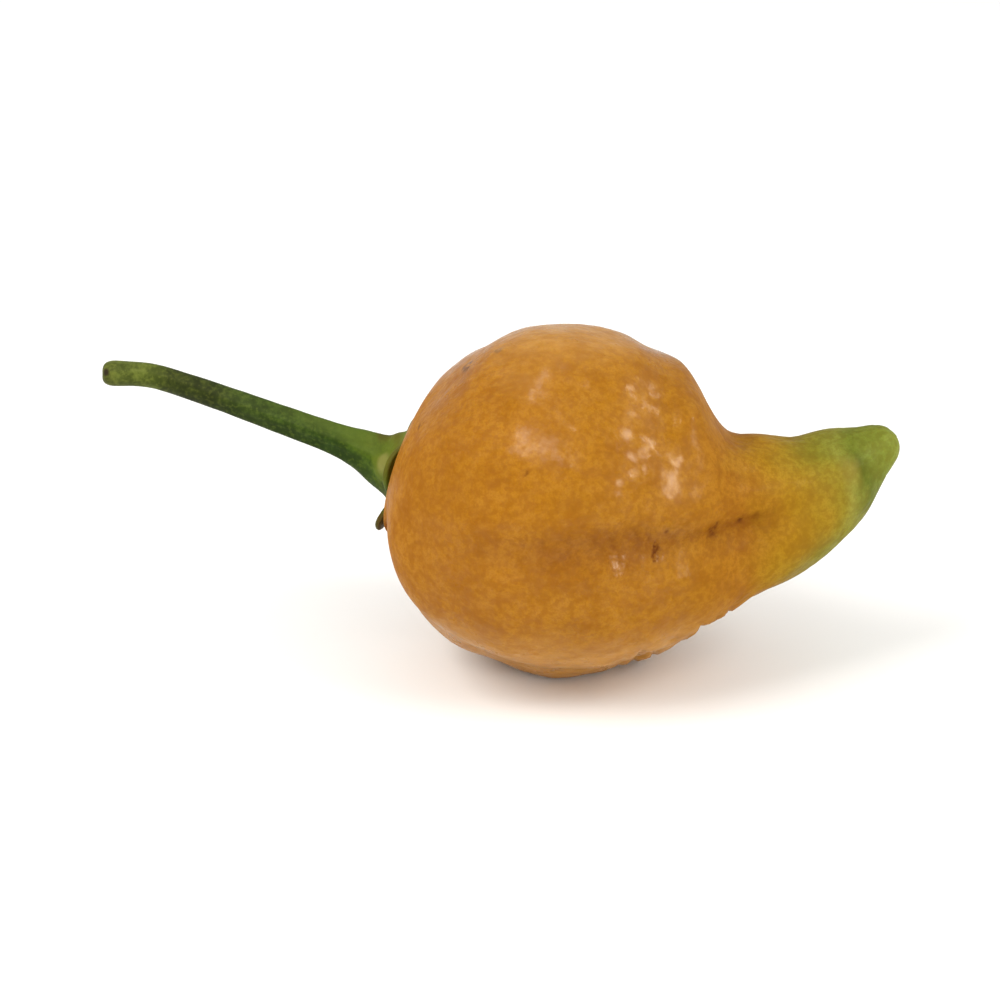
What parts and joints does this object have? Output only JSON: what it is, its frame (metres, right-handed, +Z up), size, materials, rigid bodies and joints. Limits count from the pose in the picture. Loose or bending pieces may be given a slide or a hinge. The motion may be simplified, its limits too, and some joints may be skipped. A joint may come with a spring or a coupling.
{
  "type": "chilli pepper",
  "caption": "Fresh habanero-type chilli pepper lying on its side: lobed, furrowed pod with a hooked beak, green stem and toothed calyx.",
  "frame": {"origin": "centre of the bounding box on the surface the pepper lies on", "axes": "+X along the pepper from the cut end of the stem to the tip of the beak, +Z up, -Y the side that faces the viewer"},
  "size_m": [0.068, 0.0298, 0.0302],
  "materials": {
    "pod_skin": "waxy satin skin, orange at the shoulders, yellow to green at the beak",
    "stem_skin": "green fibrous stalk, satin"
  },
  "bodies": {
    "root": {"pod": "pod_skin", "stem": "stem_skin"}
  },
  "joints": []
}
